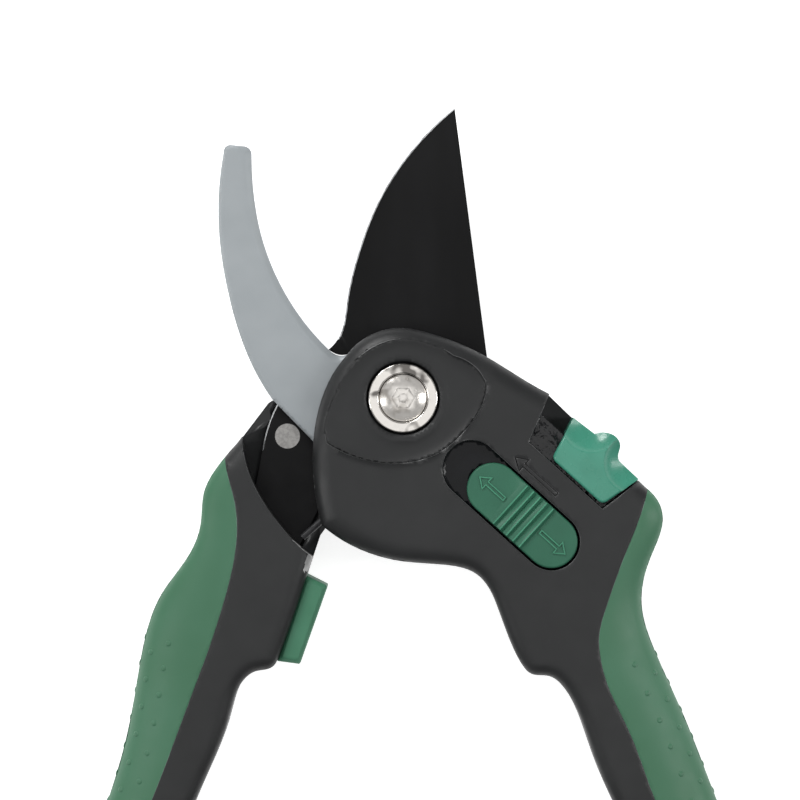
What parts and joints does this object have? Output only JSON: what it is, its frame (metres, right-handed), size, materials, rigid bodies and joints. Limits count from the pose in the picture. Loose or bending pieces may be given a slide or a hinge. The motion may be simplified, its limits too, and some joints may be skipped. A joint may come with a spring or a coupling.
{
  "type": "bypass pruner",
  "caption": "Hand pruner with a curved bypass blade, a hooked counter blade, two moulded handles, a thumb lock and a switch that limits how far it opens.",
  "frame": {"origin": "on the pivot axis, at the plane that the pruner's back rests on", "axes": "+Z out of the front face, +Y from the handles to the blade tip, +X towards the latch side"},
  "size_m": [0.1478, 0.1905, 0.022],
  "materials": {
    "shell_plastic": "fine moulded grain, slightly glossy on the shoulders",
    "grip_green": "soft overmoulded rubber with small raised dots",
    "blade_coated": "black non-stick coating, honed bright along the edge",
    "hook_steel": "satin grey coated steel",
    "chrome": "bright nickel plate, lightly worn",
    "steel": "plain steel",
    "zinc_screw": "zinc plated",
    "bushing_bronze": "sintered bronze",
    "switch_green": "moulded plastic",
    "latch_green": "semi-gloss moulded plastic",
    "bumper_green": "soft rubber"
  },
  "bodies": {
    "right_handle": {"right_front_shell": "shell_plastic", "right_rear_shell": "shell_plastic", "right_grip": "grip_green", "hook_blade": "hook_steel", "hook_rivet": "steel", "pivot_bolt": "chrome", "pivot_collar": "chrome", "pivot_bushing": "bushing_bronze", "pivot_washer": "steel", "pivot_nut": "zinc_screw", "right_shell_screws": "zinc_screw", "switch_detent_spring": "steel", "latch_detent_spring": "steel"},
    "left_handle": {"cutting_blade": "blade_coated", "left_front_shell": "shell_plastic", "left_rear_shell": "shell_plastic", "left_grip": "grip_green", "bumper": "bumper_green", "tang_rivet": "steel", "opening_spring": "steel", "left_shell_screws": "zinc_screw"},
    "opening_switch": {"switch_button": "switch_green", "switch_stop": "steel", "switch_pin": "zinc_screw"},
    "lock_latch": {"latch_button": "latch_green", "latch_bolt": "steel", "latch_pin": "steel"}
  },
  "joints": [
    {"name": "blade_pivot", "type": "hinge", "parent": "right_handle", "child": "left_handle", "pos_m": [0, 0, 0], "axis": [0, 0, 1], "range_deg": [0, 44.5], "stiffness_Nm_per_rad": 1.5, "springref_deg": -20.05, "deforming": ["opening_spring"]},
    {"name": "opening_switch_slide", "type": "slide", "parent": "right_handle", "child": "opening_switch", "axis": [-0.7408, 0.6717, 0], "range_m": [0, 0.0065]},
    {"name": "lock_latch_slide", "type": "slide", "parent": "right_handle", "child": "lock_latch", "axis": [-0.7408, 0.6717, 0], "range_m": [0, 0.0055]}
  ]
}
